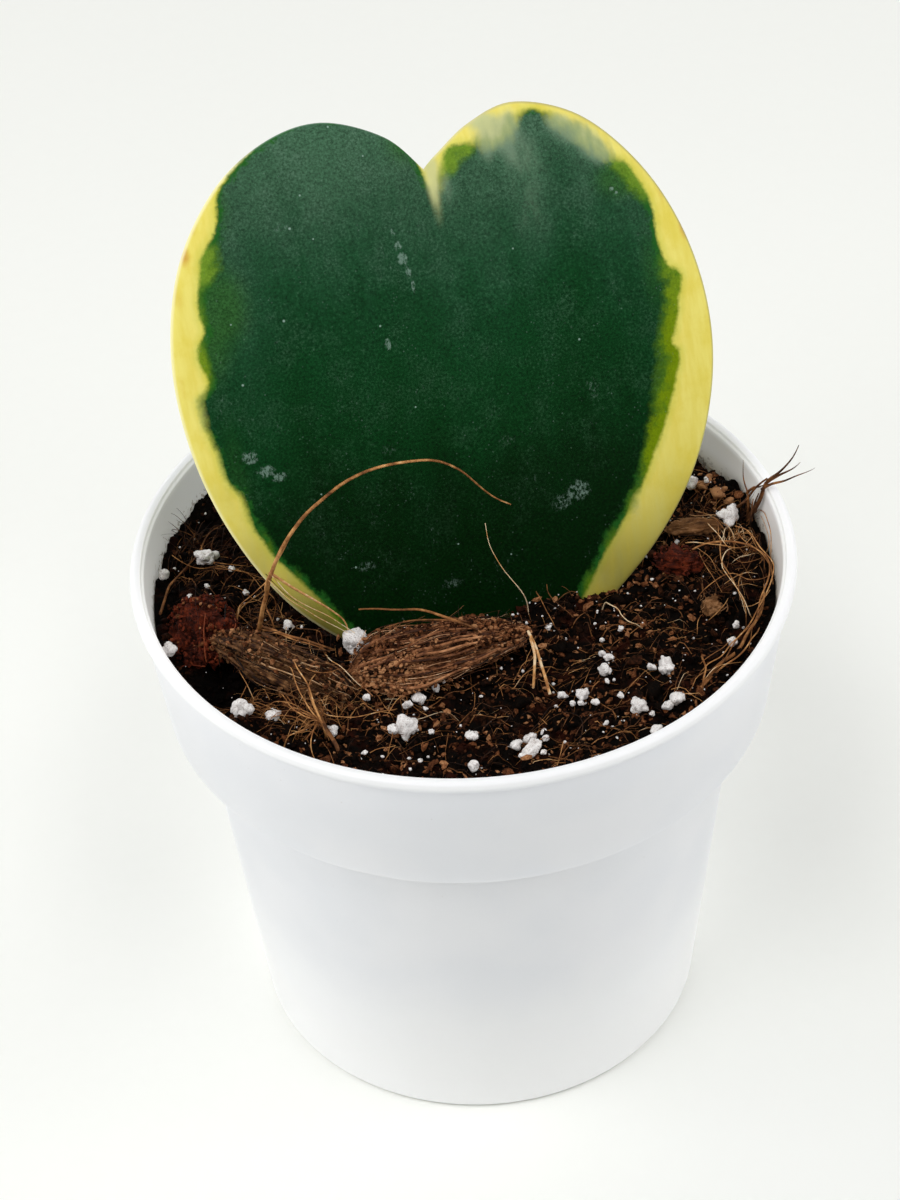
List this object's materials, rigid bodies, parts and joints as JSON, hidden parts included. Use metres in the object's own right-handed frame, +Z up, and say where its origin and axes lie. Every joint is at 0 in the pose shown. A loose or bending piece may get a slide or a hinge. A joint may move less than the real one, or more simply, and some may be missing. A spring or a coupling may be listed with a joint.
{
  "type": "potted hoya plant",
  "caption": "Heart-shaped variegated hoya leaf standing in fibrous potting mix with perlite, in a white tapered pot with an overhanging collar.",
  "frame": {"origin": "centre of the pot's underside, on the surface it stands on", "axes": "+Z up along the pot's axis; -Y towards the front, which the leaf's face looks to; +X to the right as seen from the front"},
  "size_m": [0.1141, 0.11, 0.1605],
  "materials": {
    "pot_plastic": "satin",
    "potting_mix": "matte",
    "perlite": "matte",
    "leaf_blade": "satin",
    "coir_husk": "matte",
    "bark": "matte",
    "light_bark": "matte",
    "fibre": "matte",
    "straw": "matte",
    "root": "matte"
  },
  "bodies": {
    "root": {"pot": "pot_plastic", "potting_mix": "potting_mix", "leaf": "leaf_blade", "husk_chunk_middle": "coir_husk", "husk_chunk_left": "coir_husk", "bark_lump_left": "bark", "bark_chip_right": "bark", "bark_flake_right": "light_bark", "bark_crumb_right": "light_bark", "fibre_arch": "fibre", "fibre_curled": "fibre", "fibre_over_husk": "fibre", "fibre_spray_left": "fibre", "straw_long": "straw", "straw_short": "straw", "root_tuft_right": "root", "root_mat_right": "root", "root_white": "straw"}
  },
  "joints": []
}
